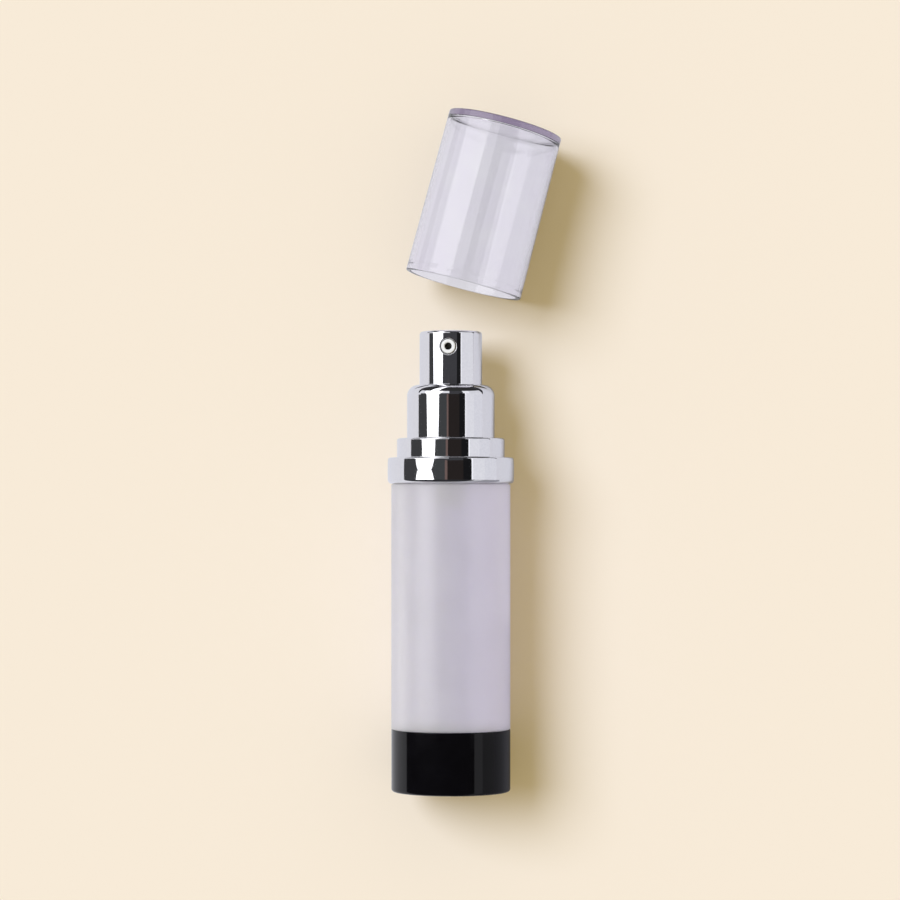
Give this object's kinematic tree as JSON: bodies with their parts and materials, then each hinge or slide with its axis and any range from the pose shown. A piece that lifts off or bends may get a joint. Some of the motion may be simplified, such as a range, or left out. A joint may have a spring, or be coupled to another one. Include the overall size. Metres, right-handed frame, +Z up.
{
  "type": "airless pump bottle",
  "caption": "Slim airless pump bottle lying flat: frosted barrel, black base cup, stepped bright collar, push button with a front nozzle, and its clear cap lying off beside it",
  "frame": {"origin": "centre of the underside of the base, at the outer mouth of its air hole, on the bottle's axis", "axes": "the bottle lies on its side: +Y runs along its axis from the base to the button, +Z is up and the nozzle faces it, +X is to the right when the button points away"},
  "size_m": [0.0423, 0.1661, 0.0308],
  "materials": {
    "frosted_san": "frosted translucent styrene acrylonitrile, pale lavender",
    "clear_san": "polished clear styrene acrylonitrile with a faint lavender tint",
    "black_san": "glossy black moulded plastic",
    "metallised_abs": "vacuum-metallised bright silver on moulded plastic",
    "white_pp": "moulded white polypropylene",
    "natural_pp": "moulded natural polypropylene",
    "natural_pe": "moulded soft natural polyethylene",
    "gasket_pe": "soft foamed gasket",
    "steel_ball": "polished stainless steel",
    "spring_wire": "drawn stainless spring wire"
  },
  "bodies": {
    "bottle": {"bottle_body": "frosted_san", "base_cup": "black_san", "shoulder_sleeve": "metallised_abs", "snap_closure": "white_pp", "neck_gasket": "gasket_pe", "pump_housing": "natural_pp", "ball_cage": "white_pp", "stem_guide": "white_pp", "return_spring": "spring_wire"},
    "plunger": {"pump_stem": "white_pp", "outlet_rod": "white_pp"},
    "outlet_seal": {"pump_piston": "natural_pe"},
    "button": {"button_shell": "metallised_abs", "button_core": "white_pp", "nozzle_insert": "white_pp"},
    "ball": {"inlet_ball": "steel_ball"},
    "follower": {"follower_piston": "natural_pe"},
    "cap": {"overcap": "clear_san"}
  },
  "joints": [
    {"name": "pump_press", "type": "slide", "parent": "bottle", "child": "plunger", "axis": [0, -1, 0], "range_m": [0, 0.0045], "stiffness_N_per_m": 1500, "springref_m": -0.004, "deforming": ["return_spring"]},
    {"name": "seal_shift", "type": "slide", "parent": "plunger", "child": "outlet_seal", "axis": [0, 1, 0], "range_m": [0, 0.0008]},
    {"name": "button_turn", "type": "hinge", "parent": "plunger", "child": "button", "pos_m": [0, 0.105, 0], "axis": [0, 1, 0], "continuous": true},
    {"name": "ball_lift", "type": "slide", "parent": "bottle", "child": "ball", "axis": [0, 1, 0], "range_m": [0, 0.001]},
    {"name": "follower_rise", "type": "slide", "parent": "bottle", "child": "follower", "axis": [0, 1, 0], "range_m": [0, 0.0646]},
    {"name": "cap_off", "type": "hinge", "parent": "bottle", "child": "cap", "pos_m": [0.16358, 0.09085, 0], "axis": [0, 0, 1], "range_deg": [0, 14.8]}
  ]
}
